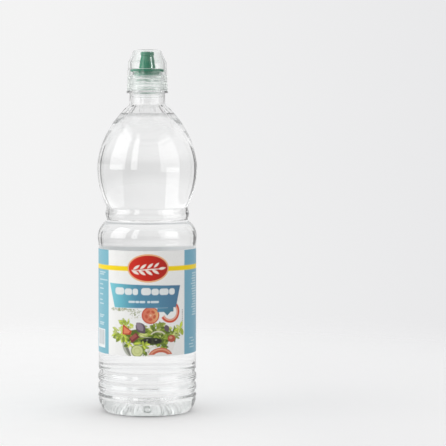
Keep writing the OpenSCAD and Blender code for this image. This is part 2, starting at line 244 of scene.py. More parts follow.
def body_outline(base_step, rib_step, waist_step, bulb_n):
    """Base, heel, grooved foot, panel, shoulder, waist, bulb and neck, as one line of (radius, height)."""
    r = np.linspace(0, ring_in_r, int(ring_in_r / base_step))
    base = np.stack([r, punt(r)], -1)
    heel = np.concatenate([
        arc(ring_out_r, toe_r, toe_r, -90, -heel_angle, 8),
        arc(panel_r - heel_r, heel_z, heel_r, -heel_angle + 4, 0)])
    z = np.arange(foot_h - land_ramp, land_top_z + groove_w / 2 + rib_step, rib_step)
    ribs = np.stack([ribbed_r(z), z], -1)
    z = np.linspace(z[-1] + 1, panel_top_z - 1, 9)
    panel = np.stack([panel_r + 0 * z, z], -1)
    z = np.linspace(panel_top_z, bulb_z, int((bulb_z - panel_top_z) / waist_step))
    waist = np.stack([waisted_r(z), z], -1)
    t = np.linspace(0, 1, bulb_n)[1:, None]
    end = np.array([neck_r + neck_fillet * (1 - math.sin(neck_slope)), neck_z])
    handle = end + neck_handle * np.array([math.cos(neck_slope), -math.sin(neck_slope)])
    foot = np.array([bulb_r, bulb_z])
    lower, upper = 3 * (1 - t) ** 2 * t, 3 * (1 - t) * t * t
    bulb = (1 - t) ** 3 * foot + lower * (foot + [0, bulb_handle]) + upper * handle + t ** 3 * end
    neck = arc(neck_r + neck_fillet, fillet_z, neck_fillet, 270 - math.degrees(neck_slope) - 5, 180, 5)
    return np.concatenate([base, heel, ribs, panel, waist, bulb, neck])


def inside(line, extra=0.0):
    """The line moved inward by the wall's thickness less extra, square to itself."""
    r, z = line[:, 0], line[:, 1]
    along = np.gradient(line, axis=0)
    along[0] = (1, 0)
    along /= np.linalg.norm(along, axis=1, keepdims=True)
    in_base = np.where(r < ring_out_r, 1, ease((heel_z - z) / heel_z))
    in_neck = ease((z - bulb_z - 10) / (neck_z - bulb_z - 10))
    thick = np.where(z > bulb_z, wall + (neck_wall - wall) * in_neck, wall + (base_t - wall) * in_base)
    t = thick - extra
    return np.stack([np.maximum(0, r - along[:, 1] * t), z + along[:, 0] * t], -1)


def moulding_waves(z, angles):
    """Slow waves of a blown wall, in millimetres outward: three sines round and up, none under the label."""
    clear = ease((z - 150) / 20) * ease((246 - z) / 20)
    wide = 0.07 * np.sin(2 * angles + z / 31 + 0.4)
    middling = 0.045 * np.sin(3 * angles - z / 19 + 2.1)
    narrow = 0.03 * np.sin(5 * angles + z / 13)
    return clear * (wide + middling + narrow)


def threaded(z, angles, wall_r, crest_r, top_z, foot, crest, turns):
    """How far a thread stands out at each height and angle: a trapezoid ridge that winds up to the right."""
    turn = 2 * np.pi
    height = 0 * z
    for lap in range(int(turns) + 1):
        wound = lap + 1 - angles / turn
        off = np.abs(z - (top_z - thread_pitch * wound))
        fade = ease(np.minimum(wound, turns - wound) * 8) * (wound < turns)
        height = np.maximum(height, fade * np.clip((foot / 2 - off) / ((foot - crest) / 2), 0, 1))
    return (crest_r - wall_r) * height


columns = np.linspace(0, 2 * np.pi, 205)[:-1]


def placed(piece, node):
    """Lets a finished piece stand in the frame for the node it replaces."""
    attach(piece, "root")
    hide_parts(node)
    return piece


def make_bottle():
    """The blown bottle: one outline turned about Z, up the outside, over the mouth and down inside.

    Radius is the outline's, plus slow waves on the walls, plus a thread that winds up the finish. Under
    the base, height falls by a rib's section in each sector. Columns crowd together at the ribs."""
    outer = body_outline(0.75, 0.55, 0.85, 34)
    finish = rounded([
        (neck_r, fillet_z + 0.3), (neck_r, support_z - 0.6), (neck_r + 0.6, support_z),
        (support_r, support_z), (support_r, support_z + support_t), (finish_r + 0.3, support_z + support_t),
        (finish_r + 0.3, support_z + catch_z - 0.4), (catch_r, support_z + catch_z),
        (catch_r, support_z + catch_z + 0.4), (finish_r, support_z + catch_z + catch_h),
        (finish_r, mouth_z - 0.5), (finish_r - 0.5, mouth_z), (bore_r + 0.3, mouth_z),
        (bore_r, mouth_z - 0.3), (bore_r, support_z + 4), (neck_r - neck_wall, support_z - 1)], 0.4, 3)
    low_thread, high_thread = support_z + catch_z + catch_h + 0.2, mouth_z - 0.7
    outside, up = finish[:, 0] > bore_r + 1, finish[:, 1]
    rows = np.flatnonzero(outside & (up >= low_thread - 0.3) & (up <= high_thread + 0.3))
    finish = np.concatenate([
        finish[:rows[0] + 1],
        np.stack([np.full(24, finish_r), np.linspace(low_thread, high_thread, 24)], -1),
        finish[rows[-1]:]])
    inner = inside(body_outline(1.6, 1.0, 1.6, 20))[::-1]
    line = np.concatenate([outer, finish, inner])
    place = np.arange(len(line))
    on_finish = (place >= len(outer)) & (place < len(outer) + len(finish))
    r, z = line[:, :1], line[:, 1:]
    crowding = 0.6 * (1 - ease((z - 20) / 50))
    a = columns[None, :] - crowding * np.sin(rib_n * (columns[None, :] - np.pi / rib_n)) / rib_n
    radius = r + np.where(on_finish[:, None], 0, moulding_waves(z, a))
    on_thread = on_finish & (r[:, 0] == finish_r)
    ridge = threaded(z, a, finish_r, thread_r, mouth_z - thread_drop, thread_w, thread_w / 2, thread_turns)
    radius = radius + np.where(on_thread[:, None], ridge, 0)
    sector = 2 * np.pi / rib_n
    off_rib = np.abs(r * np.sin(a % sector - sector / 2))
    along_rib = np.clip((r / ring_in_r - rib_start) / rib_reach, 0, 1)
    rib = np.minimum(rib_h, 0.7 * punt(r)) * np.sin(np.pi * along_rib) ** 0.6
    rib = rib * ease((rib_w / 2 + rib_edge - off_rib) / (2 * rib_edge))
    under_base = (place < len(outer)) & (r[:, 0] < ring_in_r)
    height = z - np.where(under_base[:, None], rib, 0)
    # The inner wall is marked where the vinegar wets it
    is_wet = (place >= len(outer) + len(finish)) & (line[:, 1] < fill_z)
    wetness = np.repeat(is_wet[:, None, None], len(columns), 1) * np.ones(3)
    grid = turned(radius, height, a)
    piece = surface("clear_bottle", grid, first_pole=True, last_pole=True, colours=wetness, layer="wet")
    return placed(piece, "bottle")


def make_vinegar():
    """The vinegar: the bottle's inner wall moved out a little into the wall, turned about Z up to the level.

    Its skin is flat, and near the wall it climbs by an exponential of the distance from the wall."""
    climb, reach, into_wall = 1.0, 1.1, 0.15
    wet = inside(body_outline(1.6, 1.0, 1.6, 20), extra=into_wall)
    upper = wet[wet[:, 1] > bulb_z]
    edge_r = float(np.interp(fill_z + climb, upper[:, 1], upper[:, 0]))
    away = np.concatenate([np.linspace(0, 6, 20), np.linspace(6, edge_r, 8)[1:]])
    skin = np.stack([edge_r - away, fill_z + climb * np.exp(-away / reach)], -1)
    wet = np.concatenate([wet[wet[:, 1] < fill_z + climb - 0.3], skin])
    r, z = wet[:, :1], wet[:, 1:]
    at_wall = np.where(np.arange(len(wet)) < len(wet) - len(skin) + 1, 1, 0)[:, None]
    points = turned(r + moulding_waves(z, columns[None, :]) * at_wall, z, columns)
    # Painted shade: the line where the skin meets the wall is marked, and the vinegar turns grey there as a
    # dark edge line
    rim = np.where(z > fill_z - 0.6, ease((r - edge_r + 3) / 2), 0)
    meniscus_shade = np.repeat(rim[:, :, None], len(columns), 1) * np.ones(3)
    piece = surface("vinegar_fill", points, first_pole=True, last_pole=True, colours=meniscus_shade, layer="rim")
    return placed(piece, "vinegar")


# ---- The label's print ----


class Sheet:
    """The print as colours on a grid: s is millimetres right of the front's middle, d down from the top."""

    def __init__(self, s, d, *ground):
        self.s, self.d = s, d
        self.colour = np.zeros(s.shape + (3,)) + srgb(*ground)

    def paint(self, mask, *colour):
        m = np.clip(mask, 0, 1)[..., None]
        self.colour = self.colour * (1 - m) + np.array(srgb(*colour)) * m

    def shade(self, mask, stops):
        """Lays colours that change with s, as (s, colour) pairs."""
        at = [place for place, colour in stops]
        tones = np.array([srgb(*colour) for place, colour in stops])
        tone = np.stack([np.interp(self.s, at, tones[:, k]) for k in range(3)], -1)
        m = np.clip(mask, 0, 1)[..., None]
        self.colour = self.colour * (1 - m) + tone * m

    def turned_to(self, across, down, turn):
        c, n = math.cos(math.radians(turn)), math.sin(math.radians(turn))
        return (self.s - across) * c + (self.d - down) * n, (self.d - down) * c - (self.s - across) * n

    def disc(self, across, down, wide, tall=None, turn=0):
        x, y = self.turned_to(across, down, turn)
        tall = tall or wide
        return (1 - np.hypot(x / wide, y / tall)) * min(wide, tall) / EDGE + 0.5

    def hoop(self, across, down, wide, tall, thick, turn=0):
        return np.minimum(self.disc(across, down, wide, tall, turn),
                          1 - self.disc(across, down, wide - thick, tall - thick, turn))

    def bar(self, across, down, wide, tall, turn=0):
        x, y = self.turned_to(across, down, turn)
        return np.minimum(wide / 2 - np.abs(x), tall / 2 - np.abs(y)) / EDGE + 0.5

    def pill(self, across, down, wide, tall):
        corner = min(wide, tall) * 0.4
        x = np.maximum(np.abs(self.s - across) - wide / 2 + corner, 0)
        y = np.maximum(np.abs(self.d - down) - tall / 2 + corner, 0)
        return (corner - np.hypot(x, y)) / EDGE + 0.5

    def leaf(self, across, down, length, width, turn):
        x, y = self.turned_to(across, down, turn)
        return np.minimum(width / 2 * (1 - (2 * x / length) ** 2) - np.abs(y),
                          length / 2 - np.abs(x)) / EDGE + 0.5

    def shape(self, *corners):
        """A filled shape with straight sides and no hollows, its corners clockwise seen from the front."""
        mask = np.full(self.s.shape, 9.0)
        for (x0, y0), (x1, y1) in zip(corners, corners[1:] + corners[:1]):
            side = (x1 - x0) * (self.d - y0) - (y1 - y0) * (self.s - x0)
            mask = np.minimum(mask, side / math.hypot(x1 - x0, y1 - y0) / EDGE)
        return mask + 0.5

    def pebbles(self, left, right, low, lumps, *colour):
        """A row of rounded lumps in place of words: each is its share of the width, and its height."""
        total = sum(width + 0.22 for width, tall in lumps)
        at = left
        for width, tall in lumps:
            share = (right - left) / total
            if tall:
                self.paint(self.pill(at + width * share / 2, low - tall / 2, width * share, tall), *colour)
            at += (width + 0.22) * share


EDGE = 0.3
TEAL = (130, 189, 205)
LIME, GRASS, MOSS, PALE = (184, 201, 78), (140, 158, 60), (92, 112, 44), (196, 204, 128)
LIFTED = (204, 226, 232)


def leaves(sheet, dice, count, across, down, wide, tall, long, colours):
    """Scatters leaves round a place, each turned outward from the middle of the bunch."""
    for number in range(count):
        x, y = dice.uniform(-1, 1), dice.uniform(-1, 1)
        turn = math.degrees(math.atan2(y * tall, x * wide)) + dice.uniform(-35, 35)
        length = long * dice.uniform(0.6, 1.15)
        tone = np.array(colours[dice.integers(len(colours))]) * dice.uniform(0.85, 1.08)
        place = (across + x * wide, down + y * tall)
        sheet.paint(sheet.leaf(*place, length, length * dice.uniform(0.3, 0.48), turn),
                    *np.minimum(tone, 250))
        sheet.paint(sheet.leaf(*place, length * 0.8, 0.45, turn), *np.minimum(tone * 1.25, 250))


def print_sides(sheet):
    """Teal sides with pale rows, a striped box on the left one, and the yellow band round everything."""
    dice = np.random.default_rng(5)
    sheet.paint((-34.6 - sheet.s) / EDGE, *TEAL)
    sheet.paint((sheet.s - 32.6) / EDGE, 124, 180, 202)
    for down, width in ((18, 11), (19.6, 9), (24, 14), (27.6, 7), (31, 8), (35.5, 7), (40, 6), (43, 8),
                        (52, 9), (53.4, 7), (58, 9), (59.4, 8)):
        sheet.paint(sheet.pill(-50 + width / 2, down, width, 0.9) * 0.8, *LIFTED)
    for number in range(17):
        row = sheet.pill(48.5 + dice.uniform(-1, 1), 19 + number * 2.05, dice.uniform(8, 11), 0.9)
        sheet.paint(row * 0.85, *LIFTED)
    for number in range(4):
        row = sheet.pill(44 + dice.uniform(-2, 2), 70 + number * 2.4, dice.uniform(5, 9), 0.8)
        sheet.paint(row * 0.6, *LIFTED)
    sheet.paint(sheet.bar(-47.2, 70.4, 15, 14.8), 240, 244, 244)
    for number in range(12):
        sheet.paint(sheet.bar(-53 + number * 1.05, 69.6, dice.uniform(0.25, 0.6), 11.6), 150, 160, 166)
    for number in range(10):
        sheet.paint(sheet.pill(30.4, 47 + number * 1.7, 0.8, dice.uniform(0.7, 1.4)) * 0.8, 130, 134, 138)
    sheet.paint(sheet.bar(0, 13.9, 300, 3.7), 252, 222, 18)


def print_badge(sheet):
    """A red oval with a fine peach edge, and a pale sprig on it."""
    sheet.paint(sheet.disc(0.7, 13.5, 16.5, 11.0), 240, 170, 104)
    sheet.paint(sheet.disc(0.7, 13.5, 16.0, 10.5), 250, 206, 160)
    sheet.shade(sheet.disc(0.7, 13.5, 15.5, 10.0),
                [(-15, (222, 50, 30)), (0, (208, 40, 26)), (16, (186, 38, 26))])
    for across, down, length, turn in (
            (-9.5, 16.6, 7, 28), (-8.6, 12.8, 6.4, -34), (-4.2, 16.9, 7, 34), (-3.2, 12.2, 6.4, -38),
            (1.2, 16.8, 7, 34),
            (2.2, 11.6, 6.2, -40), (6.4, 16.2, 6.8, 30), (7.2, 11.0, 5.6, -42), (11.6, 13.6, 6.4, -8)):
        sheet.paint(sheet.leaf(across, down, length, length * 0.32, turn), 250, 238, 228)
    sheet.paint(sheet.leaf(0.4, 14.5, 25, 0.9, -4), 250, 242, 234)


def print_banner(sheet):
    """A blue banner with a folded tab, and rows of lumps on it in place of a title."""
    tones = [(-32, (132, 208, 220)), (-22, (112, 190, 206)), (-8, (90, 150, 178)), (8, (92, 144, 172)),
             (27, (84, 128, 160))]
    sheet.shade(sheet.shape((-33, 25.7), (28, 27.3), (23.8, 44.3), (-27.7, 44.7)), tones)
    sheet.shade(sheet.bar(14.6, 45.9, 13.6, 3.6), [(8, (92, 150, 178)), (21, (84, 132, 158))])
    sheet.paint(sheet.shape((12.4, 46.9), (21.2, 45.6), (16, 50.6)), 84, 138, 156)
    sheet.paint(sheet.bar(11, 44.6, 11, 0.3) * 0.7, 196, 214, 222)
    pale = (236, 240, 240)
    large = [(4.6, 5.6), (3.4, 5.0), (2.4, 5.0), (0.9, 0), (4.2, 5.6), (3.2, 5.0), (4.2, 5.0), (2.8, 5.0)]
    small = [(3.6, 1.7), (2.0, 1.7), (3.0, 1.7), (0.6, 0), (1.6, 1.7), (4.4, 1.7)]
    sheet.pebbles(-27.0, 23.0, 34.4, large, *pale)
    sheet.pebbles(-15.0, 9.4, 40.6, small, 222, 234, 238)


def print_salad(sheet):
    """A salad seen from the side: bunches of leaves, slices and olives over the rim of a pale bowl."""
    dice = np.random.default_rng(8)
    for number in range(150):
        across = dice.uniform(-31, -5)
        deep = 2.2 if across < -14 else 7.5
        tone = dice.choice([[196, 198, 178], [176, 180, 148], [214, 212, 200], [152, 160, 116]])
        down = 45.2 + deep * dice.uniform(0, 1) ** 1.4
        sheet.paint(sheet.disc(across, down, dice.uniform(0.25, 0.7), dice.uniform(0.2, 0.5)), *tone)
    # The bowl behind the food
    sheet.paint(sheet.shape((-22, 70.5), (24, 70.5), (21, 78), (15, 84), (-14, 84), (-19, 78)), 240, 238, 234)
    sheet.paint(sheet.leaf(-17.0, 77.0, 14, 4.6, 62), 186, 188, 176)
    sheet.paint(sheet.leaf(-15.6, 77.8, 12, 2.2, 62), 132, 134, 122)
    sheet.paint(sheet.disc(1, 67, 21, 6.5), *MOSS)
    leaves(sheet, dice, 44, -21.5, 66.0, 7.5, 5.0, 6.0, [LIME, GRASS, PALE, LIME])
    leaves(sheet, dice, 40, -17, 57.6, 5.4, 4.0, 4.2, [LIME, LIME, GRASS, PALE])
    leaves(sheet, dice, 60, 6, 63.0, 14, 5.2, 5.6, [GRASS, MOSS, (118, 136, 58), PALE, GRASS])
    leaves(sheet, dice, 26, 22, 65.4, 6, 5, 5.6, [GRASS, PALE, MOSS, GRASS])
    leaves(sheet, dice, 8, 9.6, 56.6, 2.6, 1.8, 5, [GRASS, (158, 172, 86)])
    leaves(sheet, dice, 9, 27.6, 61.4, 2.8, 3.2, 7, [PALE, LIME])
    leaves(sheet, dice, 18, 2, 69.4, 18, 3.0, 5, [MOSS, GRASS])
    # Onion slivers between them
    sheet.paint(np.minimum(sheet.hoop(8.4, 66.6, 6.2, 4.2, 0.9), (65.4 - sheet.d) / EDGE), 228, 222, 204)
    sheet.paint(sheet.leaf(-2, 67.2, 10, 0.6, 4), 200, 196, 176)
    # Tomato wedge, purple leaves and a red piece
    sheet.paint(sheet.shape((-19.8, 57.6), (-12.2, 62.6), (-13.4, 65.6), (-20.4, 65.6)), 196, 76, 52)
    sheet.paint(sheet.shape((-19.0, 59.4), (-13.6, 62.8), (-15.0, 64.6), (-19.2, 64.8)), 234, 140, 104)
    sheet.paint(sheet.leaf(-5.2, 60.0, 10.6, 7.4, 52), 104, 90, 100)
    sheet.paint(sheet.leaf(-5.8, 59.2, 8.2, 4.8, 52), 152, 138, 150)
    sheet.paint(sheet.leaf(15.6, 60.6, 6, 4.2, 70), 112, 96, 104)
    sheet.paint(sheet.bar(-10.4, 67.8, 7.6, 4.6, -38), 132, 62, 62)
    sheet.paint(sheet.bar(-10.9, 67.2, 5.4, 2.6, -38), 170, 92, 84)
    sheet.paint(sheet.disc(3.4, 70.3, 8.6, 2.6), 64, 68, 46)
    for across in (0.6, 7.6):
        sheet.paint(sheet.disc(across, 70.2, 2.9, 2.2, 12), 44, 44, 40)
        sheet.paint(sheet.disc(across - 0.8, 69.4, 0.9, 0.4), 150, 150, 138)
    sheet.paint(sheet.disc(19.8, 68.8, 3.4, 2.9), 186, 92, 70)
    sheet.paint(sheet.disc(19.0, 68.0, 1.5, 1.0), 222, 158, 132)
    leaves(sheet, dice, 14, -3.0, 74.2, 5.6, 2.6, 5.4, [LIME, GRASS])
    leaves(sheet, dice, 14, 12.6, 73.2, 5.4, 2.8, 5.4, [GRASS, MOSS])
    leaves(sheet, dice, 8, -0.6, 80.0, 3.4, 1.6, 4.2, [GRASS, MOSS])
    leaves(sheet, dice, 10, -15.0, 73.2, 3.2, 2.0, 4.4, [GRASS, MOSS, LIME])
    # Cucumber, onion ring and a red strip
    sheet.paint(sheet.disc(-7.9, 78.0, 5.0, 4.8), 124, 142, 70)
    sheet.paint(sheet.disc(-7.9, 78.0, 4.4, 4.2), 214, 220, 156)
    sheet.paint(sheet.hoop(-7.9, 78.0, 2.7, 2.5, 0.5), 192, 202, 128)
    sheet.paint(np.minimum(sheet.hoop(10.6, 84.6, 10.6, 9.0, 3.6), (81.2 - sheet.d) / EDGE), 204, 108, 82)
    sheet.paint(np.minimum(sheet.hoop(10.6, 84.6, 9.8, 8.2, 1.0), (80.4 - sheet.d) / EDGE), 232, 168, 138)
    sheet.paint(np.minimum(sheet.hoop(6.4, 79.6, 6.6, 5.6, 1.1), (7.6 - sheet.s) / EDGE), 232, 226, 212)
    # The slice and the curl of pepper above the bowl
    sheet.paint(sheet.disc(2.5, 50.2, 6.9, 6.7), 206, 84, 62)
    sheet.shade(sheet.disc(2.5, 50.2, 6.1, 5.9),
                [(-4, (222, 124, 100)), (3, (226, 140, 108)), (8, (236, 184, 128))])
    for turn in range(0, 360, 72):
        x, y = math.cos(math.radians(turn + 20)), math.sin(math.radians(turn + 20))
        sheet.paint(sheet.disc(2.5 + x * 3.3, 50.2 + y * 3.2, 1.7, 1.1, turn + 110) * 0.7, 206, 98, 72)
    sheet.paint(sheet.disc(2.5, 50.2, 0.9), 240, 200, 168)
    below_right = ((sheet.s - 18.6) * 0.62 + (sheet.d - 47.4) * 0.78 + 1.0) / EDGE
    sheet.paint(np.minimum(sheet.hoop(18.6, 47.8, 8.6, 8.6, 2.9), below_right), 216, 88, 62)
    sheet.paint(np.minimum(sheet.hoop(18.6, 47.8, 7.0, 7.0, 1.1), below_right), 240, 186, 162)


def make_label():
    """One turn of film about Z: its section is a flat closed loop, and its print a colour at each point."""
    film_r, film_t = panel_r + 0.02, 0.08
    front = np.radians(np.arange(185, 355, math.degrees(0.36 / panel_r)))
    angles = np.concatenate([
        np.radians(np.linspace(95, 185, 40, endpoint=False)), front,
        np.radians(np.linspace(355, 455, 40, endpoint=False))])
    tall = label_top_z - label_low_z
    rise = np.concatenate([[0, 0.02], np.arange(0.36, tall - 0.1, 0.36), [tall - 0.02, tall]])
    s = (panel_r * (angles - 1.5 * np.pi))[None, :] + 0 * rise[:, None]
    sheet = Sheet(s, (tall - rise)[:, None] + 0 * s, 246, 246, 244)
    print_sides(sheet)
    print_badge(sheet)
    print_salad(sheet)
    print_banner(sheet)
    step = np.radians(0.6)
    lap = ease((angles - np.radians(443)) / step) * ease((np.radians(457) - angles) / step)
    lap = lap + ease((np.radians(97) - angles) / step) * (angles < np.radians(98))
    outside = (film_r + film_t + film_t * np.clip(lap, 0, 1))[None, :] + 0 * rise[:, None]
    radius = np.concatenate([outside, np.full((2, len(angles)), film_r)])
    height = np.concatenate([label_low_z + rise, [label_top_z, label_low_z]])[:, None]
    # The fourth value tells the printed face, 1, from the inner face, 0, which the material gives a painted
    # glow
    face = np.concatenate([sheet.colour, np.ones(s.shape + (1,))], -1)
    back = np.zeros((2, len(angles), 4)) + (*srgb(240, 240, 238), 0)
    piece = surface("label_film", turned(radius, height, angles), closed_rows=True,
                    colours=np.concatenate([face, back]))
    return placed(piece, "label")


# ---- The pouring insert and the cap ----

flange_z, flange_top_z = mouth_z + 0.05, mouth_z + 1.95


def make_pourer():
    """The pouring insert, a closed outline turned about Z: plug, flange, tapered spout, rim and hole."""
    plug_r, flange_r, rim_z = bore_r - 0.06, 13.5, spout_top_z - 3.1
    outline = finer(rounded([
        (1.5, spout_top_z - 1), (1.5, spout_top_z - 1.2), (3.7, spout_top_z - 1.8), (3.7, rim_z),
        (5.5, flange_top_z + 1), (5.5, flange_z), (plug_r - 1.1, flange_z), (plug_r - 1.1, mouth_z - 5),
        (plug_r - 0.5, mouth_z - 5), (plug_r, mouth_z - 4), (plug_r, flange_z - 0.2),
        (plug_r + 0.2, flange_z), (flange_r - 0.3, flange_z), (flange_r, flange_z + 0.3),
        (flange_r, flange_top_z - 0.5), (flange_r - 0.5, flange_top_z), (7.5, flange_top_z),
        (6.7, flange_top_z + 1), (4.9, rim_z - 0.5), (5.4, rim_z), (5.4, spout_top_z - 0.8),
        (4.6, spout_top_z), (1.5, spout_top_z), (1.5, spout_top_z - 0.8)], 0.3, 3), 0.8)
    piece = surface("pouring_insert", turned(outline[:, :1], outline[:, 1:], columns[::2]), closed_rows=True)
    return placed(piece, "pourer")


def make_cap():
    """The screw cap: one outline turned about Z, down the inner wall, round the band and up outside.

    A thread winds up the inner wall, and the slit above the band cuts inward between ten bridges."""
    skirt_r, band_r, drum_r = 15.9, 16.3, 15.45
    dome_foot_r, dome_top_r, dome_flat_r, dome_t = 14.8, 11.4, 9.0, 1.1
    screw_gap = 0.25
    slit_z, slit_h = band_z + 4.7, 0.35
    skirt_top_z = band_z + 16.6
    drum_top_z = skirt_top_z + 6.4
    inside_r, lip_r, lip_z = thread_r + screw_gap, catch_r - 0.4, support_z + catch_z - 1.2
    seat_z, drum_in_r = flange_top_z + 0.05, dome_foot_r - dome_t * 1.6
    band = rounded([
        (lip_r, lip_z - 0.5), (lip_r + 0.8, band_z), (band_r, band_z), (band_r, slit_z),
        (skirt_r, slit_z + 0.1)], 0.3, 2)
    slit = np.array([(skirt_r - 0.02, slit_z + 0.12), (skirt_r - 0.02, slit_z + slit_h),
                     (skirt_r, slit_z + slit_h + 0.02)])
    upper = rounded([
        (skirt_r, slit_z + slit_h + 0.4), (skirt_r, skirt_top_z - 0.3), (drum_r, skirt_top_z + 0.1),
        (drum_r, drum_top_z - 0.1), (dome_foot_r, drum_top_z + 0.2), (dome_top_r, cap_top_z - 1.7),
        (dome_top_r - 0.4, cap_top_z - 0.7), (dome_flat_r, cap_top_z), (0, cap_top_z)], 0.9, 4)
    under = rounded([
        (0, cap_top_z - dome_t), (dome_top_r - dome_t - 1, cap_top_z - dome_t),
        (dome_top_r - dome_t, cap_top_z - dome_t - 1), (drum_in_r, drum_top_z - 0.5),
        (drum_in_r, seat_z), (inside_r, seat_z), (inside_r, mouth_z - 0.6)], 0.5, 3)
    thread_rows = np.stack([np.full(24, inside_r), np.linspace(mouth_z - 0.8, slit_z + 0.6, 24)], -1)
    end = rounded([
        (inside_r, slit_z + 0.3), (inside_r, slit_z), (catch_r + screw_gap, slit_z - 0.2),
        (catch_r + screw_gap, lip_z + 0.5), (lip_r, lip_z),
        (lip_r, lip_z - 0.5)], 0.25, 2)
    outline = np.concatenate([under, thread_rows, end, band[1:], slit, finer(upper, 1.2)])
    r, z, a = outline[:, :1], outline[:, 1:], columns[None, :]
    place = np.arange(len(outline))
    on_thread = (place >= len(under)) & (place < len(under) + len(thread_rows))
    foot, crest = thread_pitch - thread_w / 2 - 0.3, thread_pitch - thread_w - 0.1
    top_z = mouth_z - thread_drop - thread_pitch / 2
    ridge = threaded(z, a, inside_r, finish_r + screw_gap, top_z, foot, crest, thread_turns - 0.5)
    radius = r + np.where(on_thread[:, None], ridge, 0)
    bridge = np.abs((a * 10 / (2 * np.pi) + 0.5) % 1 - 0.5) * 2 * np.pi / 10 * skirt_r < 0.5
    cut = (np.abs(r - (skirt_r - 0.02)) < 0.001) & (z > slit_z + 0.1) & (z < slit_z + slit_h + 0.01)
    radius = radius - np.where(cut & ~bridge, (skirt_r - inside_r) * 0.85, 0)
    return placed(surface("clear_cap", turned(radius, z, columns), first_pole=True, last_pole=True),
                  "cap")


bottle, vinegar, label, pourer, cap = make_bottle(), make_vinegar(), make_label(), make_pourer(), make_cap()

# ---- Materials ----


def add(tree, kind, sockets=None, **settings):
    """A node of this kind with its settings, and each socket given a value or linked to another's output."""
    node = tree.nodes.new("ShaderNode" + kind)
    for key, value in settings.items():
        setattr(node, key, value)
    for key, value in (sockets or {}).items():
        socket = node.inputs[key]
        if isinstance(value, bpy.types.NodeSocket):
            tree.links.new(value, socket)
        else:
            socket.default_value = value
    return node


def maths(tree, operation, first, second=0.0):
    return add(tree, "Math", {0: first, 1: second}, operation=operation).outputs[0]


def ramped(tree, value, start, end, low=0.0, high=1.0, smooth=False):
    """Low where the value is at start, high where it is at end, and between them in between."""
    sockets = {"Value": value, "From Min": start, "From Max": end, "To Min": low, "To Max": high}
    kind = "SMOOTHSTEP" if smooth else "LINEAR"
    return add(tree, "MapRange", sockets, interpolation_type=kind).outputs["Result"]


def new_group(name, *outputs):
    group = bpy.data.node_groups.new(name, "ShaderNodeTree")
    for output, kind in outputs:
        group.interface.new_socket(name=output, in_out="OUTPUT", socket_type=kind)
    return group


def use(tree, group):
    return add(tree, "Group", node_tree=group)


wear = new_group("handling_marks", ("Marks", "NodeSocketFloat"))
place = add(wear, "TexCoord").outputs["Object"]
smudges = add(wear, "TexNoise", {"Vector": place, "Scale": 55.0, "Detail": 3.0}).outputs["Fac"]
stretch = add(wear, "Mapping",
              {"Vector": place, "Scale": (900.0, 900.0, 60.0), "Rotation": (0.3, 0.2, 0.0)}).outputs["Vector"]
scratches = add(wear, "TexNoise", {"Vector": stretch, "Scale": 1.0, "Detail": 2.0}).outputs["Fac"]
fine = ramped(wear, scratches, 0.62, 0.75)
broad = ramped(wear, smudges, 0.42, 0.72)
marks = maths(wear, "ADD", maths(wear, "MULTIPLY", broad, 0.6), maths(wear, "MULTIPLY", fine, 0.4))
out = wear.nodes.new("NodeGroupOutput")
wear.links.new(marks, out.inputs["Marks"])

waves = new_group("moulded_skin", ("Height", "NodeSocketFloat"))
place = add(waves, "TexCoord").outputs["Object"]
slow = add(waves, "TexNoise", {"Vector": place, "Scale": 45.0, "Detail": 1.5}).outputs["Fac"]
quickly = add(waves, "TexNoise", {"Vector": place, "Scale": 260.0, "Detail": 1.0}).outputs["Fac"]
height = maths(waves, "ADD", slow, maths(waves, "MULTIPLY", quickly, 0.12))
out = waves.nodes.new("NodeGroupOutput")
waves.links.new(height, out.inputs["Height"])


def new_material(name):
    m = bpy.data.materials.new(name)
    m.use_nodes = True
    m.node_tree.nodes.clear()
    return m, m.node_tree


def mix_colour(tree, factor, first, second):
    node = tree.nodes.new("ShaderNodeMix")
    node.data_type = "RGBA"
    for index, value in ((0, factor), (6, first), (7, second)):
        if isinstance(value, bpy.types.NodeSocket):
            tree.links.new(value, node.inputs[index])
        else:
            node.inputs[index].default_value = value
    return node.outputs[2]


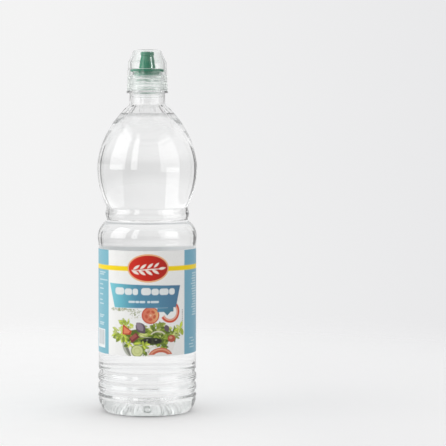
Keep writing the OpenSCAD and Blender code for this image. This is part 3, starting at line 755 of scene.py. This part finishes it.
def clear_material(name, ior, tint, deep_tint, least_rough, most_rough, wave_strength, shine=0.5,
                   wet_layer=None, meniscus_shade_layer=None,
                   thick_below=None, cloud=(0.0, 0.0), cloud_below=0.0):
    """Clear plastic or liquid: tinted glass with faint marks and waves in its skin. Lamps shine through.

    Cloud is how much of the plastic is milky above and below a height in millimetres, and the milky part has
    a painted glow."""
    m, tree = new_material(name)
    marks = use(tree, wear).outputs["Marks"]
    tone = mix_colour(tree, marks, (*tint, 1), (*deep_tint, 1))
    rough = ramped(tree, marks, 0.0, 1.0, least_rough, most_rough)
    if thick_below:
        level, thick_tone = thick_below
        at = add(tree, "SeparateXYZ", {0: add(tree, "TexCoord").outputs["Object"]}).outputs["Z"]
        depth = ramped(tree, at, (level + 4) * MM, (level - 4) * MM)
        tone = mix_colour(tree, depth, tone, (*thick_tone, 1))
    # Painted shade: where this layer is set, the tint turns grey
    if meniscus_shade_layer:
        rim = add(tree, "Attribute", attribute_name=meniscus_shade_layer).outputs["Fac"]
        tone = mix_colour(tree, rim, tone, (0.55, 0.55, 0.55, 1))
    skin = use(tree, waves).outputs["Height"]
    bump = add(tree, "Bump",
               {"Height": skin, "Strength": 1.0, "Distance": wave_strength * MM}).outputs["Normal"]
    if wet_layer:
        soaked = add(tree, "Attribute", attribute_name=wet_layer).outputs["Fac"]
        shine = ramped(tree, soaked, 0.0, 1.0, shine, 0.04)
    glass = add(tree, "BsdfPrincipled", {
        "Base Color": tone, "Roughness": rough, "IOR": ior, "Transmission Weight": 1.0,
        "Specular IOR Level": shine, "Normal": bump})
    body = glass.outputs[0]
    if max(cloud) > 0:
        at = add(tree, "SeparateXYZ", {0: add(tree, "TexCoord").outputs["Object"]}).outputs["Z"]
        milky = ramped(tree, at, (cloud_below + 0.6) * MM, (cloud_below - 0.6) * MM, *cloud)
        # Milky plastic with a painted glow: it glows pale green-white
        milk_with_painted_glow = add(tree, "BsdfPrincipled", {
            "Base Color": (0.66, 0.70, 0.68, 1), "Roughness": rough, "Specular IOR Level": 0.2,
            "Emission Color": (0.88, 0.94, 0.91, 1), "Emission Strength": 0.4})
        body = add(tree, "MixShader", {0: milky, 1: body, 2: milk_with_painted_glow.outputs[0]}).outputs[0]
    through = add(tree, "BsdfTransparent", {"Color": tone})
    lamp = add(tree, "LightPath").outputs["Is Shadow Ray"]
    both = add(tree, "MixShader", {0: lamp, 1: body, 2: through.outputs[0]})
    out = add(tree, "OutputMaterial", {"Surface": both.outputs[0]})
    return m


bottle.data.materials.append(
    clear_material("clear_bottle", 1.57, (0.992, 0.993, 0.993), (0.982, 0.984, 0.984), 0.0, 0.03, 0.05,
                   wet_layer="wet",
                   thick_below=(8, (0.955, 0.972, 0.966))))
vinegar.data.materials.append(
    clear_material("vinegar", 1.335, (0.995, 0.995, 0.995), (0.99, 0.99, 0.99), 0.0, 0.0, 0.02,
                   shine=0.15, meniscus_shade_layer="rim"))
cap.data.materials.append(
    clear_material("clear_cap", 1.42, (0.985, 0.996, 0.991), (0.972, 0.99, 0.981), 0.06, 0.14, 0.05,
                   shine=0.4,
                   cloud=(0.0, 0.2), cloud_below=band_z + 12))


def label_material():
    """Printed film: the print's colours, faintly mottled, a soft gloss, some light from behind through the
    film, and a painted glow on its inner face.
    """
    m, tree = new_material("label_film")
    print_colour = add(tree, "Attribute", attribute_name="print").outputs["Color"]
    place = add(tree, "TexCoord").outputs["Object"]
    grain = add(tree, "TexNoise", {"Vector": place, "Scale": 900.0, "Detail": 2.0}).outputs["Fac"]
    mottle = ramped(tree, grain, 0.0, 1.0, 0.88, 0.95)
    tone = add(tree, "VectorMath", {0: print_colour, "Scale": mottle}, operation="SCALE").outputs["Vector"]
    marks = use(tree, wear).outputs["Marks"]
    rough = ramped(tree, marks, 0.0, 1.0, 0.34, 0.5)
    skin = use(tree, waves).outputs["Height"]
    bump = add(tree, "Bump", {"Height": skin, "Strength": 1.0, "Distance": 0.1 * MM}).outputs["Normal"]
    # Painted glow: the inner face glows white, the printed face does not
    inner_face = add(tree, "Attribute", attribute_name="print").outputs["Alpha"]
    painted_inner_glow = mix_colour(tree, inner_face, (1, 1, 1, 1), (0, 0, 0, 1))
    film = add(tree, "BsdfPrincipled", {
        "Base Color": tone, "Roughness": rough, "Normal": bump, "Specular IOR Level": 0.25,
        "Coat Weight": 0.15, "Coat Roughness": 0.12,
        "Emission Color": painted_inner_glow, "Emission Strength": 0.52})
    glowing = add(tree, "BsdfTranslucent", {"Color": tone, "Normal": bump})
    both = add(tree, "MixShader", {0: 0.15, 1: film.outputs[0], 2: glowing.outputs[0]})
    add(tree, "OutputMaterial", {"Surface": both.outputs[0]})
    return m


def green_material():
    """Moulded green plastic: slightly cloudy and glossy, with a little painted glow in place of the light
    that soaks in.
    """
    m, tree = new_material("green_plastic")
    place = add(tree, "TexCoord").outputs["Object"]
    cloud = add(tree, "TexNoise", {"Vector": place, "Scale": 140.0, "Detail": 2.0}).outputs["Fac"]
    tone = mix_colour(tree, cloud, (0.03, 0.42, 0.24, 1), (0.045, 0.49, 0.29, 1))
    marks = use(tree, wear).outputs["Marks"]
    rough = ramped(tree, marks, 0.0, 1.0, 0.14, 0.3)
    skin = use(tree, waves).outputs["Height"]
    bump = add(tree, "Bump", {"Height": skin, "Strength": 1.0, "Distance": 0.05 * MM}).outputs["Normal"]
    plastic = add(tree, "BsdfPrincipled", {
        "Base Color": tone, "Roughness": rough, "Normal": bump, "Subsurface Weight": 0.3,
        "Subsurface Scale": 0.001, "IOR": 1.5,
        # Painted glow: the plastic glows in its own green
        "Emission Color": tone, "Emission Strength": 0.2})
    glowing = add(tree, "BsdfTranslucent", {"Color": tone, "Normal": bump})
    both = add(tree, "MixShader", {0: 0.3, 1: plastic.outputs[0], 2: glowing.outputs[0]})
    add(tree, "OutputMaterial", {"Surface": both.outputs[0]})
    return m


label.data.materials.append(label_material())
pourer.data.materials.append(green_material())

# ---- Floor, air and lamps ----


def make_floor():
    """A flat disc about Z, just under the bottle: a painted shade makes it a little darker to the right, and
    it is clear far away.
    """
    rings = np.concatenate([np.linspace(0, 400, 60), np.geomspace(410, 4000, 30)])[:, None]
    spokes = np.linspace(0, 2 * np.pi, 97)[:-1]
    floor = surface("floor", turned(rings, 0 * rings - 0.05, spokes), first_pole=True)
    m, tree = new_material("floor")
    place = add(tree, "TexCoord").outputs["Object"]
    grain = add(tree, "TexNoise", {"Vector": place, "Scale": 40.0, "Detail": 3.0}).outputs["Fac"]
    tone = mix_colour(tree, grain, (0.70, 0.70, 0.70, 1), (0.73, 0.73, 0.73, 1))
    # Painted shade: the floor's tone darkens to the right
    to_right = add(tree, "SeparateXYZ", {0: place}).outputs["X"]
    side = ramped(tree, to_right, 0.02, 0.16, smooth=True)
    tone = mix_colour(tree, side, tone, (0.655, 0.655, 0.66, 1))
    far = add(tree, "VectorMath", {0: place}, operation="LENGTH").outputs["Value"]
    gone = ramped(tree, far, 0.22, 0.75, smooth=True)
    ground = add(tree, "BsdfPrincipled", {
        "Base Color": tone, "Roughness": 0.9, "Specular IOR Level": 0.1,
        "Emission Color": (1, 1, 1, 1), "Emission Strength": 0.27})
    clear = add(tree, "BsdfTransparent")
    both = add(tree, "MixShader", {0: gone, 1: ground.outputs[0], 2: clear.outputs[0]})
    add(tree, "OutputMaterial", {"Surface": both.outputs[0]})
    floor.data.materials.append(m)


make_floor()


def flag(name, bearing, distance, low_z, high_z, width):
    """A dark card that draws a line down the clear wall's edge, at degrees right of straight behind."""
    across = (np.linspace(-0.5, 0.5, 5) * width)[None, :, None]
    up = np.linspace(low_z, high_z, 5)[:, None, None]
    turn = math.radians(bearing)
    middle = distance * np.array([math.sin(turn), math.cos(turn), 0])
    along = np.array([math.cos(turn), -math.sin(turn), 0])
    grid = (middle + across * along + up * np.array([0, 0, 1])).reshape(-1, 3)
    number = np.arange(25).reshape(5, 5)
    faces = np.stack([number[:-1, :-1], number[:-1, 1:], number[1:, 1:], number[1:, :-1]], -1).reshape(-1, 4)
    mesh = bpy.data.meshes.new(name)
    mesh.from_pydata(grid, [], faces)
    card = bpy.data.objects.new(name, mesh)
    scene.collection.objects.link(card)
    m, tree = new_material(name)
    place = add(tree, "TexCoord").outputs["Object"]
    grain = add(tree, "TexNoise", {"Vector": place, "Scale": 60.0}).outputs["Fac"]
    tone = mix_colour(tree, grain, (0.015, 0.015, 0.015, 1), (0.03, 0.03, 0.03, 1))
    cloth = add(tree, "BsdfPrincipled", {"Base Color": tone, "Roughness": 0.9, "Specular IOR Level": 0.05})
    add(tree, "OutputMaterial", {"Surface": cloth.outputs[0]})
    mesh.materials.append(m)
    card.visible_camera = card.visible_diffuse = card.visible_shadow = card.visible_glossy = False


flag("flag_left", -52, 0.6, -0.02, 0.5, 0.17)
flag("flag_right_near", 44, 0.6, 0.0, 0.5, 0.045)
flag("flag_right_far", 61, 0.6, -0.02, 0.5, 0.09)

# How bright the air is round the bottle: degrees to the right of straight behind it, and brightness
walls = [
    (-180, 0.42), (-120, 0.5), (-85, 0.6), (-65, 0.8), (-45, 0.88), (-20, 0.87), (0, 0.83),
    (22, 0.74), (40, 0.66), (60, 0.6), (90, 0.48), (120, 0.42), (180, 0.42)]


def make_air():
    """Soft light from all round, in bands by bearing, with pale air above and below, and a plain backdrop."""
    world = bpy.data.worlds.new("studio")
    scene.world = world
    world.use_nodes = True
    tree = world.node_tree
    tree.nodes.clear()
    way = add(tree, "TexCoord").outputs["Generated"]
    parts = add(tree, "SeparateXYZ", {0: way})
    bearing = maths(tree, "ARCTAN2", parts.outputs["X"], parts.outputs["Y"])
    ramp = add(tree, "ValToRGB", {0: ramped(tree, bearing, -math.pi, math.pi)})
    bands = ramp.color_ramp.elements
    while len(bands) < len(walls):
        bands.new(0.5)
    for band, (degrees, bright) in zip(bands, walls):
        band.position = (degrees + 180) / 360
    for band, (degrees, bright) in zip(bands, walls):
        band.color = (bright, bright, bright, 1)
    above = ramped(tree, parts.outputs["Z"], 0.12, 0.4, smooth=True)
    below = ramped(tree, parts.outputs["Z"], -0.05, -0.3, smooth=True)
    air = mix_colour(tree, above, ramp.outputs["Color"], (0.88, 0.88, 0.88, 1))
    air = mix_colour(tree, below, air, (0.88, 0.88, 0.88, 1))
    seen = add(tree, "LightPath").outputs["Is Camera Ray"]
    to_right, round_behind = ramped(tree, bearing, -0.07, 0.2), ramped(tree, bearing, 3.1, 0.5)
    shade = maths(tree, "MULTIPLY", to_right, round_behind)
    backdrop = mix_colour(tree, shade, (0.90, 0.90, 0.90, 1), (0.81, 0.81, 0.82, 1))
    air = mix_colour(tree, seen, air, backdrop)
    glow = add(tree, "Background", {"Color": air, "Strength": 1.0})
    add(tree, "OutputWorld", {"Surface": glow.outputs[0]})


make_air()


def panel(name, bearing, distance, low_z, high_z, width, radiance, diffuse, glossy):
    """A flat lamp that faces the bottle, at degrees to the left of the camera as seen from the bottle."""
    lamp = bpy.data.lights.new(name, "AREA")
    lamp.shape = "RECTANGLE"
    lamp.size, lamp.size_y = width, high_z - low_z
    lamp.energy = radiance * math.pi * lamp.size * lamp.size_y
    o = bpy.data.objects.new(name, lamp)
    scene.collection.objects.link(o)
    turn = math.radians(bearing)
    o.location = (-distance * math.sin(turn), -distance * math.cos(turn), (low_z + high_z) / 2)
    o.rotation_euler = (math.radians(90), 0, -turn)
    o.visible_camera = False
    o.visible_diffuse = diffuse
    o.visible_glossy = glossy
    o.visible_transmission = glossy
    return o


panel("window", 73, 1.2, 0.17, 1.7, 0.95, 1.5, False, True)
panel("window_strip", 30, 1.2, 0.17, 1.7, 0.30, 1.4, False, True)
panel("reflector", -55, 1.2, 0.10, 1.5, 1.1, 0.9, False, True)
# This lamp lights only the spout
spark = panel("spark", -70, 1.2, 0.6, 1.1, 0.16, 110.0, False, True)
spout_only = bpy.data.collections.new("lit_by_spark")
spout_only.objects.link(pourer)
spark.light_linking.receiver_collection = spout_only
panel("key", 73, 1.2, 0.05, 1.4, 0.95, 2.5, True, False)

scene.view_settings.view_transform = "Standard"
# Light runs along inside the clear walls for many bounces before it gets out
scene.cycles.max_bounces = 200
scene.cycles.transmission_bounces = 200
scene.cycles.transparent_max_bounces = 64
scene.cycles.glossy_bounces = 10
scene.cycles.diffuse_bounces = 4
scene.cycles.caustics_refractive = False
scene.cycles.caustics_reflective = False
